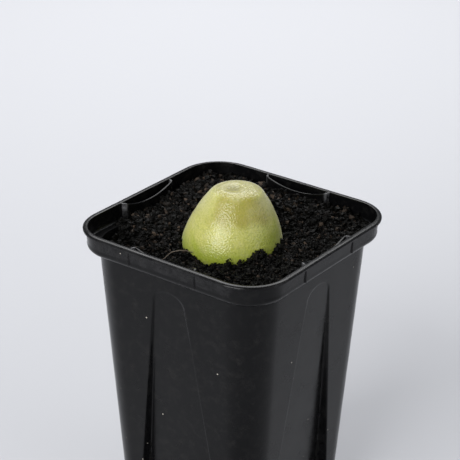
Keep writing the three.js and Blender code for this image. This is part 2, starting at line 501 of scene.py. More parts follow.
@dataclass(frozen=True)
class LeafSkin(Finish):
    """Living conophytum skin: waxy, minutely netted leaf tissue filled with water.

    The eye sees pale yellow-green that glows a little where light passes through, greener low
    down, olive in the clear window under the top, and a highlight broken into a sparkle by the
    net of cells. The side turned away from the window light is painted greener, as painted shade.
    A pale painted sheen lies on the shoulders and up the sides towards the outline, and a painted
    highlight along the ridge in front of the slit; the same pale colour in clouds is the skin's
    papery bloom. Real cells are finer: they are drawn as coarse as they need to be to show.
    """

    slot = "plant_skin"
    pale: str = "#bebc6c"
    # Green of the skin low down, and of the painted shade on the side turned away from the window
    # light.
    green: str = "#9aa932"
    olive: str = "#9d9443"
    # Pale colour of the painted sheen and highlight zone, and of the skin's papery bloom in clouds.
    frost: str = "#cac69a"
    slit: str = "#7b7428"
    vein: str = "#7f8a2c"
    sheen: str = "#f4f1e0"
    cell_size: float = 0.38
    cloud_size: float = 2.4

    def dress(
        self, tree: bpy.types.NodeTree, shader: bpy.types.Node, place: bpy.types.NodeSocket
    ) -> None:
        """Lays the zones over pale skin, and nets the surface with cells.

        Args:
            tree: the material's node tree.
            shader: its Principled shader.
            place: the socket of Object coordinates.
        """
        cells = add_node(
            tree,
            "TexVoronoi",
            {"Scale": pattern_scale(self.cell_size)},
            {"Vector": place},
            feature="SMOOTH_F1",
        )
        net = add_node(
            tree,
            "MapRange",
            {"From Min": 0.3, "From Max": 0.8, "To Min": 0.0, "To Max": 0.45},
            {"Value": cells.outputs["Distance"]},
        )
        clouds = add_node(
            tree,
            "TexNoise",
            {"Scale": pattern_scale(self.cloud_size), "Detail": 4.0, "Roughness": 0.6},
            {"Vector": place},
        )
        cloud_share = add_node(
            tree,
            "MapRange",
            {"From Min": 0.52, "From Max": 0.8, "To Min": 0.0, "To Max": 0.3},
            {"Value": clouds.outputs["Fac"]},
        )
        # The zones hold painted shade (the green side) and painted sheen and highlight (the pale
        # zone).
        layers = []
        for zone in SkinZone:
            share = add_node(tree, "Attribute", attribute_name=zone.value)
            layers.append((getattr(self, zone.value), share.outputs["Fac"]))
        # The pale colour in clouds is the skin's own papery bloom.
        layers += [(self.vein, net.outputs[0]), (self.frost, cloud_share.outputs[0])]
        under = {}
        for over, share in layers:
            colours = {6: linear(self.pale), 7: linear(over)}
            mixed = add_node(tree, "Mix", colours, {0: share, **under}, data_type="RGBA")
            under = {6: mixed.outputs[2]}
        bump = add_node(
            tree,
            "Bump",
            {"Strength": 0.8, "Distance": 0.12 * MM},
            {"Height": cells.outputs["Distance"]},
            invert=True,
        )
        shader.inputs["Roughness"].default_value = 0.25
        shader.inputs["IOR"].default_value = 1.42
        shader.inputs["Specular IOR Level"].default_value = 0.6
        shader.inputs["Subsurface Weight"].default_value = 0.35
        shader.inputs["Subsurface Radius"].default_value = (1.0, 0.95, 0.3)
        shader.inputs["Subsurface Scale"].default_value = 1.0 * MM
        shader.inputs["Sheen Weight"].default_value = 0.45
        shader.inputs["Sheen Roughness"].default_value = 0.35
        shader.inputs["Sheen Tint"].default_value = linear(self.sheen)
        tree.links.new(under[6], shader.inputs["Base Color"])
        tree.links.new(bump.outputs[0], shader.inputs["Normal"])


@dataclass
class Section:
    """Rings of the pot's moulding, from the foot up the outside, over the rim and down inside.

    Each field is a column of numbers, one per ring.
    """

    z: np.ndarray
    half: np.ndarray
    corner: np.ndarray
    grow: np.ndarray

    @staticmethod
    def of(
        z: np.ndarray | float,
        half: np.ndarray | float,
        corner: np.ndarray | float,
        grow: np.ndarray | float = 0,
    ) -> "Section":
        """Makes a section from numbers or lists, spread to one length."""
        spread = np.broadcast_arrays(*map(np.atleast_1d, (z, half, corner, grow)))
        return Section(*[column * 1.0 for column in spread])

    @staticmethod
    def stack(parts: list["Section"]) -> "Section":
        """Joins sections end to end.

        Args:
            parts: the sections, in order.

        Returns:
            One section whose fields are columns.
        """
        names = ("z", "half", "corner", "grow")
        columns = [[getattr(part, name) for part in parts] for name in names]
        return Section(*[np.concatenate(column)[:, None] for column in columns])


@dataclass
class NurseryPot:
    """The moulded pot: a thin tapered shell with a stepped collar and a lipped rim.

    An arch-topped panel is pressed into each wall. A stacking lug stands inside the collar on
    each side. The floor is raised between four feet, and has drain holes.
    """

    finish: Finish = MouldedPolypropylene()
    low: Vector = field(default_factory=lambda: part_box("pot")[0] / MM)
    high: Vector = field(default_factory=lambda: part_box("pot")[1] / MM)
    wall: float = 0.5
    lip_overhang: float = 0.85
    lip_height: float = 0.8
    lip_corner: float = 10.4
    lip_bead: float = 0.45
    lip_bead_width: float = 0.8
    collar_depth: float = 5.4
    collar_draft: float = 0.2
    collar_round: float = 1.4
    collar_corner: float = 9.1
    ledge_depth: float = 4
    ledge_round: float = 0.5
    wall_half_top: float = 24.75
    wall_taper: float = 0.0674
    wall_corner_top: float = 9
    wall_corner_taper: float = 0.04
    panel_top: float = 9.2
    panel_arch_height: float = 3.2
    panel_arch_half: float = 4.3
    panel_spread: float = 0.1355
    panel_step: float = 0.06
    panel_slope: float = 0.047
    step_width: float = 0.28
    floor_top: float = 3.2
    foot_height: float = 2
    archway_half: float = 13.2
    drain_radius: float = 2.7
    slot_width: float = 3
    slot_length: float = 10
    slot_place: float = 11.5
    lug_inner: float = 24.7
    lug_half: float = 9
    lug_half_root: float = 9.6
    lug_top_drop: float = 0.05
    lug_bend: float = 1.1
    scallop_half: float = 8.8
    scallop_sag: float = 1.65
    sink_depth: float = 0.035
    sink_half: float = 0.6
    corner_steps: int = 18
    wall_rings: int = 34
    drain_sides: int = 48
    # Share of grey over the collar's outside; the same grey on the lugs' end walls is a painted
    # highlight.
    collar_grey_share: float = 0.1

    @property
    def rim_half(self) -> float:
        """Half the rim's side, from the frame."""
        return (self.high.x - self.low.x) / 2

    @property
    def height(self) -> float:
        """The pot's height, from the frame."""
        return self.high.z

    def wall_section(self, z: np.ndarray, inset: float = 0, grow: float = 0) -> Section:
        """Rings of the tapered wall: half-side and corner shrink evenly with depth.

        Args:
            z: heights over the feet.
            inset: distance inwards from the wall's outside.
            grow: how far the panel's outline is grown on these rings.

        Returns:
            The rings.
        """
        below = self.height - np.atleast_1d(z)
        half = self.wall_half_top - self.wall_taper * below - inset
        corner = self.wall_corner_top - self.wall_corner_taper * below - inset
        return Section.of(z, half, corner, grow)

    def outside(self) -> list[Section]:
        """Rings up the outside: foot, wall, rounded underside of the collar, collar and lip.

        The roundings are quarter circles. Rings stand close together across the panel's arch,
        and small steps of a few hundredths round the edges between the parts.

        Returns:
            The rings, from the foot upwards.
        """
        under = self.height - self.collar_depth
        collar = self.rim_half - self.lip_overhang
        lip = self.height - self.lip_height
        apex = self.height - self.panel_top
        wall = np.linspace(0.25, apex - 5, self.wall_rings)
        arch = np.linspace(apex - 4.6, apex + 0.4, self.wall_rings)
        levels = np.concatenate([wall, arch, np.linspace(apex + 0.9, under - 0.25, 5)])
        turn = np.radians(np.linspace(0, 90, 10))
        inset = self.collar_draft + self.collar_round * (1 - np.sin(turn))
        bead = np.radians(np.linspace(0, 90, 9))
        lip_inset = np.concatenate([[0.14, 0.04], self.lip_bead_width * (1 - np.cos(bead))])
        lip_round = self.lip_height - self.lip_bead * (1 - np.sin(bead))
        lip_rise = np.concatenate([[0.02, 0.1], lip_round])
        return [
            self.wall_section(0, 0.2),
            self.wall_section(0.06, 0.06),
            self.wall_section(levels),
            self.wall_section(under - 0.08),
            self.wall_section(under, -0.1),
            Section.of(
                under + self.collar_round * (1 - np.cos(turn)),
                collar - inset,
                self.collar_corner - inset,
            ),
            Section.of(
                np.linspace(under + self.collar_round + 0.3, lip - 0.1, 7),
                collar - np.linspace(self.collar_draft, 0, 7),
                self.collar_corner,
            ),
            Section.of(lip, collar, self.collar_corner),
            Section.of(lip + 0.01, collar + 0.08, self.collar_corner + 0.1),
            Section.of(lip + lip_rise, self.rim_half - lip_inset, self.lip_corner - lip_inset),
        ]

    def inside(self) -> list[Section]:
        """Rings over the rim's top and down the inside: collar, ledge, wall and floor.

        Returns:
            The rings, from the rim downwards.
        """
        collar = self.rim_half - self.lip_overhang - self.wall
        corner = self.collar_corner - self.wall
        ledge = self.height - self.ledge_depth
        turn = np.radians(np.linspace(90, 0, 5))
        inset = self.collar_draft + self.ledge_round * (1 - np.sin(turn))
        top_drop, top_inset = np.array([0.03, 0.12, 0.3]), np.array([0.06, 0.0, 0.0])
        edge_drop, edge_inset = np.array([0.02, 0.1, 0.3]), np.array([0.1, 0.02, 0])
        round_z = ledge + self.ledge_round * (1 - np.cos(turn))
        return [
            Section.of(self.height, collar + 0.2, corner + 0.2),
            Section.of(self.height - top_drop, collar + top_inset, corner),
            Section.of(
                np.linspace(self.height - 0.8, ledge + self.ledge_round + 0.1, 4),
                collar - np.linspace(0.03, self.collar_draft, 4),
                corner,
            ),
            Section.of(round_z, collar - inset, corner - inset),
            self.wall_section(ledge, self.wall - 0.3),
            self.wall_section(ledge - edge_drop, self.wall - edge_inset),
            self.wall_section(np.linspace(ledge - 1.5, self.floor_top, 30), self.wall, self.wall),
        ]

    def panel_depth(self, along: np.ndarray, z: np.ndarray, grow: np.ndarray) -> np.ndarray:
        """How far a point of a wall is pressed in.

        The depth is a step plus a slope times the distance below the arch's top, inside an
        outline that is half an ellipse on top of a widening strip. A narrow smoothstep across
        the outline makes the near-upright side of the step.

        Args:
            along: distance from the wall's middle line.
            z: height over the feet.
            grow: how far the outline is grown, for the wall's inner face.

        Returns:
            Depths in the shape of along and z together.
        """
        start = self.height - self.panel_top
        shoulder = start - self.panel_arch_height
        half = self.panel_arch_half + grow
        rise = self.panel_arch_height + grow
        strip = half + self.panel_spread * np.maximum(shoulder - z, 0) - np.abs(along)
        reach = np.hypot(along / half, np.maximum(z - shoulder, 0) / rise)
        inside = np.where(z > shoulder, (1 - reach) * rise, strip)
        share = smoothstep((inside + self.step_width) / (2 * self.step_width))
        return share * (self.panel_step + self.panel_slope * np.maximum(start - z, 0))

    def sink_marks(self, along: np.ndarray, z: np.ndarray, outer: np.ndarray) -> np.ndarray:
        """Faint upright dents in the collar's outside, behind which a lug's end walls stand.

        A dent is a bell of the distance from the end wall, faded out under the collar.

        Args:
            along: distance from the side's middle.
            z: height over the feet.
            outer: True on the outside's rings.

        Returns:
            Depths in the shape of along and z together.
        """
        band = smoothstep((z - self.height + self.collar_depth - 0.8) / 1.2)
        off = (np.abs(along) - self.lug_half_root + 0.2) / self.sink_half
        return self.sink_depth * band * outer * np.exp(-off * off)

    def side_columns(self, rings: Section, guide: np.ndarray) -> np.ndarray:
        """Distances along a side at which its columns stand: crowded round the guide line.

        Args:
            rings: the section.
            guide: per ring, the distance from the middle that both crowds follow.

        Returns:
            One row per ring, from the side's left end to its right end.
        """
        near = np.array([0.55, 0.35, 0.22, 0.14, 0.08, 0.03])
        crowd = np.concatenate([near, -near[::-1]])
        end = rings.half - rings.corner
        outer = np.linspace(0, 1, 6)[None, :-1]
        left = -end + (end - guide - crowd[0]) * outer
        left_crowd = -guide - crowd[None, :]
        middle = np.linspace(-1, 1, 13)[None, 1:-1] * (guide + crowd[-1])
        half_side = np.concatenate([left, left_crowd], axis=1)
        return np.concatenate([half_side, middle, -half_side[:, ::-1]], axis=1)

    def shell(self) -> tuple[np.ndarray, list[np.ndarray]]:
        """The closed shell: each ring is four sides and four round corners.

        A side's point lies at its distance along the side, pushed in by the panel's depth. A
        corner's point lies on a quarter circle. Flat polygons close the foot and the floor. The
        guide of the side's columns is the panel's outline, and on the collar the lug's end walls.

        Returns:
            Points, and arrays of faces.
        """
        outside, inside = self.outside(), self.inside()
        rings = Section.stack(outside + inside)
        outer = np.arange(len(rings.z))[:, None] < sum(len(part.z) for part in outside)
        shoulder = self.height - self.panel_top - self.panel_arch_height
        spread = self.panel_arch_half + rings.grow + self.panel_spread * (shoulder - rings.z)
        arch = np.sqrt(np.clip(1 - ((rings.z - shoulder) / self.panel_arch_height) ** 2, 0.08, 1))
        guide = np.where(rings.z > shoulder, self.panel_arch_half * arch, spread)
        guide = np.minimum(guide, rings.half - rings.corner - 0.7)
        collar = smoothstep((rings.z - self.height + self.panel_top) / 3)
        guide = guide + (self.lug_half_root - 0.2 - guide) * collar
        along = self.side_columns(rings, guide)
        on_wall = rings.z < self.height - self.collar_depth
        pressed = self.panel_depth(along, rings.z, rings.grow) * on_wall
        pressed = pressed + self.sink_marks(along, rings.z, outer)
        height = np.broadcast_to(rings.z, along.shape)
        side = np.stack([along, pressed - rings.half, height], axis=2)
        turn = np.radians(np.linspace(-90, 0, self.corner_steps + 2))[None, 1:-1]
        centre = rings.half - rings.corner
        arc_x = centre + rings.corner * np.cos(turn)
        arc_y = -centre + rings.corner * np.sin(turn)
        arc = np.stack([arc_x, arc_y, np.broadcast_to(rings.z, arc_x.shape)], axis=2)
        quarter = np.concatenate([side, arc], axis=1)
        points = np.concatenate([turned(quarter, angle) for angle in (0, 90, 180, 270)], axis=1)
        rows, columns = points.shape[:2]
        foot = np.arange(columns)[None, ::-1]
        floor = (rows - 1) * columns + np.arange(columns)[None, :]
        return points.reshape(-1, 3), [grid_faces(rows, columns), foot, floor]

    def lug(self, quarter: int) -> tuple[np.ndarray, list[np.ndarray]]:
        """A stacking lug: a thin wall on a U-shaped path, with an arc cut from its top edge.

        The path runs along one end wall, round a bend, along the face, round a bend and along
        the other end wall. At each place on it stands the wall's section, a strip with rounded
        top edges, whose height is the lower of the lug's top and the scallop's arc.

        Args:
            quarter: the side it stands on, in quarter turns from the side towards -Y.

        Returns:
            Points, and arrays of faces.
        """
        root = self.rim_half - self.lip_overhang - self.wall / 2
        bottom = self.height - self.ledge_depth - self.wall / 2
        bend = np.radians(np.linspace(0, 90, 6))
        bend_x = self.lug_half - self.lug_bend * (1 - np.cos(bend))
        bend_y = self.lug_inner + self.lug_bend * (1 - np.sin(bend))
        end_y = np.linspace(root, bend_y[0], 5)[:-1]
        end_x = np.interp(end_y, [bend_y[0], root], [self.lug_half, self.lug_half_root])
        face = np.linspace(bend_x[-1], -bend_x[-1], 41)[1:-1]
        right_x = np.concatenate([end_x, bend_x])
        right_y = np.concatenate([end_y, bend_y])
        x = np.concatenate([right_x, face, -right_x[::-1]])
        y = -np.concatenate([right_y, np.full(len(face), self.lug_inner), right_y[::-1]])
        path = np.stack([x, y], axis=1)[::-1]
        step = np.gradient(path, axis=0)
        step /= np.linalg.norm(step, axis=1, keepdims=True)
        inward = np.stack([step[:, 1], -step[:, 0]], axis=1)
        radius = (self.scallop_half**2 + self.scallop_sag**2) / (2 * self.scallop_sag)
        arc = radius - np.sqrt(radius**2 - np.minimum(np.abs(path[:, 0]), self.scallop_half) ** 2)
        top = self.height - np.maximum(self.lug_top_drop, self.scallop_sag - arc)
        across = np.array([0, 0, 0, 0.06, 0.2, 0.8, 0.94, 1, 1, 1]) * self.wall
        drop = np.array([0, 0.6, 0.1, 0.03, 0, 0, 0.03, 0.1, 0.6, 0])
        z = top[:, None] - drop
        z[:, [0, -1]] = bottom
        spot = path[:, None, :] + inward[:, None, :] * across[None, :, None]
        points = np.concatenate([spot, z[:, :, None]], axis=2)
        rows, columns = points.shape[:2]
        first = np.arange(columns)[None, ::-1]
        last = (rows - 1) * columns + np.arange(columns)[None, :]
        return turned(points.reshape(-1, 3), 90 * quarter), [grid_faces(rows, columns), first, last]

    def grey_and_painted_highlights(self, points: np.ndarray) -> np.ndarray:
        """Shares of the painted highlight grey: strong on the lugs' end walls, where it stands for
        a bright band of reflected light, and faint over the collar's outside.

        Args:
            points: the pot's points.

        Returns:
            One share per point.
        """
        x, y, z = np.abs(points).T
        low, high = np.minimum(x, y), np.maximum(x, y)
        inner = self.rim_half - self.lip_overhang - self.wall - self.collar_draft
        on_lug = (high > self.lug_inner - 0.2) & (high < inner)
        on_lug &= z > self.height - self.ledge_depth + 0.1
        # Painted highlight: the lugs' end walls are greyed where a bright band of reflected light
        # shows.
        end = smoothstep((low - self.lug_half + 0.9) / 0.5) * (low < self.lug_half_root + 0.1)
        # A faint grey over the collar's outside.
        on_collar = (high > inner + self.wall) & (z > self.height - self.collar_depth + 0.3)
        return np.maximum(np.where(on_lug, end, 0), np.where(on_collar, self.collar_grey_share, 0))

    def cutter(self) -> bpy.types.Object:
        """The archways between the feet and the drain holes, as boxes and a round bar.

        Two crossed bars open the archways. Four boxes cut the slots, one towards each wall. All
        are the corners of a unit cube times a size, moved to a place.

        Returns:
            The cutting body, which is removed once it has cut.
        """
        reach = 2 * self.rim_half
        depth = 4 * self.floor_top
        archway, tall = 2 * self.archway_half, 2 * self.foot_height
        long, wide, place = self.slot_length, self.slot_width, self.slot_place
        sizes = np.array(
            [
                (reach, archway, tall),
                (archway, reach, tall),
                (long, wide, depth),
                (long, wide, depth),
                (wide, long, depth),
                (wide, long, depth),
            ]
        )
        places = np.zeros_like(sizes)
        places[2:, :2] = [(0, -place), (0, place), (-place, 0), (place, 0)]
        ends = (-0.5, 0.5)
        cube = np.array([[x, y, z] for x in ends for y in ends for z in ends])
        quads = np.array(
            [[0, 1, 3, 2], [4, 6, 7, 5], [0, 4, 5, 1], [2, 3, 7, 6], [0, 2, 6, 4], [1, 5, 7, 3]]
        )
        boxes = (cube[None] * sizes[:, None] + places[:, None]).reshape(-1, 3)
        box_faces = (quads[None] + len(cube) * np.arange(len(sizes))[:, None, None]).reshape(-1, 4)
        sides = self.drain_sides
        turn = np.linspace(0, 2 * np.pi, sides, endpoint=False)
        disc = np.stack([np.cos(turn), np.sin(turn), 0 * turn], axis=1) * self.drain_radius
        lift = np.array([0, 0, depth / 2])
        start = len(boxes)
        faces = [
            np.concatenate([box_faces, grid_faces(2, sides) + start]),
            start + np.arange(sides)[None, ::-1],
            start + sides + np.arange(sides)[None, :],
        ]
        points = np.concatenate([boxes, disc - lift, disc + lift])
        return put_piece("drain_cutter", points, faces, self.finish)

    def build(self) -> bpy.types.Object:
        """Joins the shell and its lugs, opens the drains and replaces the plain pot.

        Returns:
            The pot's one piece.
        """
        parts = [self.shell(), *[self.lug(quarter) for quarter in range(4)]]
        starts = np.cumsum([0] + [len(points) for points, _ in parts])
        points = np.concatenate([points for points, _ in parts])
        faces = [part + start for (_, group), start in zip(parts, starts) for part in group]
        # The grey share: painted highlight on the lugs' end walls, faint grey on the collar.
        zones = {"grey_and_painted_highlight": self.grey_and_painted_highlights(points)}
        piece = put_piece("nursery_pot", points, faces, self.finish, SHARP_ANGLE, zones)
        cutter = self.cutter()
        opened = piece.modifiers.new("drains", "BOOLEAN")
        opened.object = cutter
        opened.operation = "DIFFERENCE"
        opened.solver = "EXACT"
        opened.use_self = True
        graph = bpy.context.evaluated_depsgraph_get()
        mesh = bpy.data.meshes.new_from_object(piece.evaluated_get(graph))
        piece.modifiers.clear()
        piece.data = mesh
        bpy.data.objects.remove(cutter)
        mesh.set_sharp_from_angle(angle=float(np.radians(SHARP_ANGLE)))
        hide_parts("pot")
        return piece


@dataclass
class ConophytumBody:
    """The plant: one body of two fused leaves, a dome with a small slit on top."""

    finish: Finish = LeafSkin()
    rim_height: float = 80
    profile: tuple[tuple[float, float], ...] = (
        (0, -17.5),
        (1.8, -17.1),
        (4.2, -15),
        (7, -12.2),
        (9.6, -9.4),
        (11.2, -7.4),
        (11.65, -5.8),
        (11.5, -4.2),
        (11, -2.4),
        (10.3, -0.4),
        (9.3, 1.7),
        (8.2, 3.8),
        (7, 5.6),
        (5.8, 7.1),
        (4.4, 7.75),
        (2.4, 7.92),
        (0, 7.92),
    )
    lean: float = 0.08
    lean_from: float = -1.5
    lean_direction: float = 36.5
    slit_place: tuple[float, float] = (-0.05, 0.2)
    slit_half_length: float = 1.65
    slit_half_width: float = 1.9
    slit_depth: float = 0.24
    slit_rim: float = 0.04
    ridge_away: float = 1.95
    ridge_height: float = 0.14
    window_bottom: float = 0.9
    window_turn: float = 12
    window_half_turn: float = 40
    cap_height: float = 7.2
    shoulder_height: float = 6.6
    rings: int = 170
    columns: int = 256

    def outline(self, rings: int) -> np.ndarray:
        """The half-profile as a smooth curve through its points, by cubic Hermite spans.

        Each point's slope is the mean of the steps before and after it.

        Args:
            rings: how many points to give.

        Returns:
            Radii and heights over the rim, from the buried tip to the top.
        """
        knots = np.array(self.profile)
        chord = np.concatenate([[0], np.cumsum(np.linalg.norm(np.diff(knots, axis=0), axis=1))])
        slope = np.gradient(knots, chord, axis=0)
        slope[-1, 1] = 0
        place = np.linspace(0, chord[-1], rings)
        span = np.clip(np.searchsorted(chord, place, side="right") - 1, 0, len(knots) - 2)
        width = (chord[span + 1] - chord[span])[:, None]
        t = (place - chord[span])[:, None] / width
        start, end = knots[span], knots[span + 1]
        rise = (3 - 2 * t) * t * t
        bent = start + (end - start) * rise
        bent += width * t * (1 - t) * ((1 - t) * slope[span] - t * slope[span + 1])
        bent[[0, -1], 0] = 0
        return bent

    def place(self, radius: np.ndarray, height: np.ndarray, turn: np.ndarray) -> np.ndarray:
        """Points of the body, leaned sideways with height.

        Args:
            radius: distances from the leaning axis.
            height: heights over the rim.
            turn: directions round the axis, in radians.

        Returns:
            Points in the shape of the three together.
        """
        shift = self.lean * (height - self.lean_from)
        heading = np.radians(self.lean_direction)
        x = radius * np.cos(turn) + shift * np.cos(heading)
        y = radius * np.sin(turn) + shift * np.sin(heading)
        return np.stack([x, y, self.rim_height + height + 0 * x], axis=-1)

    def build(self) -> bpy.types.Object:
        """The body: the outline turned round its leaning axis, with the slit pressed in.

        Returns:
            The plant's one piece.
        """
        curve = self.outline(self.rings)
        turn = np.linspace(0, 2 * np.pi, self.columns, endpoint=False)[None, :]
        radius, height = curve[1:-1, :1], curve[1:-1, 1:]
        points = self.place(radius + 0 * turn, height + 0 * turn, turn)
        points = points.reshape(-1, 3)
        tips = self.place(np.zeros(2), curve[[0, -1], 1], np.zeros(2))
        points = np.concatenate([points, tips])
        zones = self.zones(points)
        points = self.press_slit(points)
        ring = np.arange(self.columns)
        count = (self.rings - 2) * self.columns
        faces = [
            grid_faces(self.rings - 2, self.columns),
            fan_faces(ring[::-1], count),
            fan_faces(ring + count - self.columns, count + 1),
        ]
        piece = put_piece("conophytum_plant", points, faces, self.finish, SMOOTH_ANGLE, zones)
        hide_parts("conophytum_body")
        return piece

    def slit_distance(self, points: np.ndarray) -> np.ndarray:
        """Distance from the slit's middle, where 1 is its edge: an oval on the plant's top.

        Args:
            points: the plant's points.

        Returns:
            One distance per point.
        """
        heading = np.radians(self.lean_direction)
        offset = points[:, :2] - np.array(self.slit_place)
        long = offset @ np.array([np.cos(heading), np.sin(heading)]) / self.slit_half_length
        short = offset @ np.array([-np.sin(heading), np.cos(heading)]) / self.slit_half_width
        return np.hypot(long, short)

    def facing(self, points: np.ndarray) -> np.ndarray:
        """Share by which a point lies in front of the slit, from 0 beside it to 1 at 2 mm.

        Args:
            points: the plant's points.

        Returns:
            One share per point.
        """
        front = np.radians(self.lean_direction - 90)
        offset = points[:, :2] - np.array(self.slit_place)
        return smoothstep(offset @ np.array([np.cos(front), np.sin(front)]) / 2)

    def press_slit(self, points: np.ndarray) -> np.ndarray:
        """Presses the slit, and raises a low rim round it and a ridge in front of it.

        The slit is a flat-bottomed bell of the distance from its middle, its rim a ring. The
        ridge follows an arc of a wider ring round the same middle.

        Args:
            points: the plant's points.

        Returns:
            The moved points.
        """
        away = self.slit_distance(points)
        top = points[:, 2] > self.rim_height
        facing = self.facing(points)
        ring = np.exp(-(((away - 1.4) / 0.3) ** 2))
        arc = facing * np.exp(-(((away - self.ridge_away) / 0.22) ** 2))
        dent = -self.slit_depth * np.exp(-(away**4)) + self.slit_rim * ring
        crease = self.ridge_height * arc
        moved = points.copy()
        moved[:, 2] += np.where(top, dent + crease, 0)
        return moved

    def zones(self, points: np.ndarray) -> dict[str, np.ndarray]:
        """Shares of the skin's zones at each point.

        The green rises with depth, and higher on the side turned away from the window light, where
        it is painted shade. The olive window covers the top and the front under it. A pale painted
        sheen lies on the shoulder and up the sides towards the outline, and a painted highlight on
        the ridge. Ripples blur the zones' edges.

        Args:
            points: the plant's points before the slit is pressed.

        Returns:
            One share per point, by the zone's name.
        """
        height = points[:, 2] - self.rim_height
        turn = np.degrees(np.arctan2(points[:, 0], -points[:, 1])) - self.lean_direction
        turn = (turn + 180) % 360 - 180
        x, y, z = points.T
        drift = 0.8 * ripples(x + z, y - z, 5, 20, 31)
        green = smoothstep((-0.4 - height + 0.6 * drift) / 5.2) * 0.85
        # Painted shade: the side turned away from the window light is painted greener.
        side = smoothstep((turn + 10) / 70) * smoothstep((100 - turn) / 30)
        green = np.maximum(green, 0.75 * side * smoothstep((4 - height + drift) / 7))
        window = smoothstep((height - self.window_bottom + 0.5 * drift) / 2.5)
        beside = np.abs(turn - self.window_turn + 3 * drift) - self.window_half_turn
        front = 1 - 0.8 * smoothstep(beside / 20)
        front = np.maximum(front, smoothstep((height - self.cap_height) / 0.5))
        away = self.slit_distance(points)
        # Painted sheen: a pale rim on the shoulders, where light from behind grazes the top.
        shoulder = smoothstep((height - self.shoulder_height + 0.4 * drift) / 1.4)
        shoulder *= 0.12 + 0.15 * drift
        shoulder *= smoothstep((away - 2.2) / 0.8)
        # Painted sheen: pale up the sides where they turn towards the outline.
        flank = smoothstep((np.abs(turn) - 35) / 25) * smoothstep((height - 1) / 4) * 0.35
        slit = np.exp(-(away**4))
        # Painted highlight: a pale line along the ridge in front of the slit.
        ridge = self.facing(points) * np.exp(-(((away - self.ridge_away) / 0.28) ** 2))
        shoulder = np.maximum(shoulder, 0.55 * ridge * (height > 0))
        return {
            SkinZone.GREEN.value: green,
            SkinZone.OLIVE.value: np.clip(window * front, 0, 1) * 0.9,
            # The pale zone is painted sheen and highlight.
            SkinZone.FROST.value: np.clip(np.maximum(shoulder, flank), 0, 1),
            SkinZone.SLIT.value: np.where(height > 0, slit, 0) * 0.8,
        }


@dataclass(frozen=True)
class Crumbs:
    """One size of crumb: how many, how big, how long, how brown, and the seed of its draws."""

    count: int
    smallest: float
    largest: float
    stretch: float
    brown: float
    seed: int


class CrumbGrade(Enum):
    """The sizes of crumb that lie on the mix. Their order is the order of the pieces."""

    DUST = Crumbs(5600, 0.3, 0.75, 1.6, 1.0, 20)
    FINE = Crumbs(5600, 0.45, 1.1, 2.4, 1.0, 21)
    MIDDLE = Crumbs(3600, 0.7, 1.5, 1.8, 1.0, 22)
    COARSE = Crumbs(650, 1.1, 2.0, 1.4, 0.85, 23)


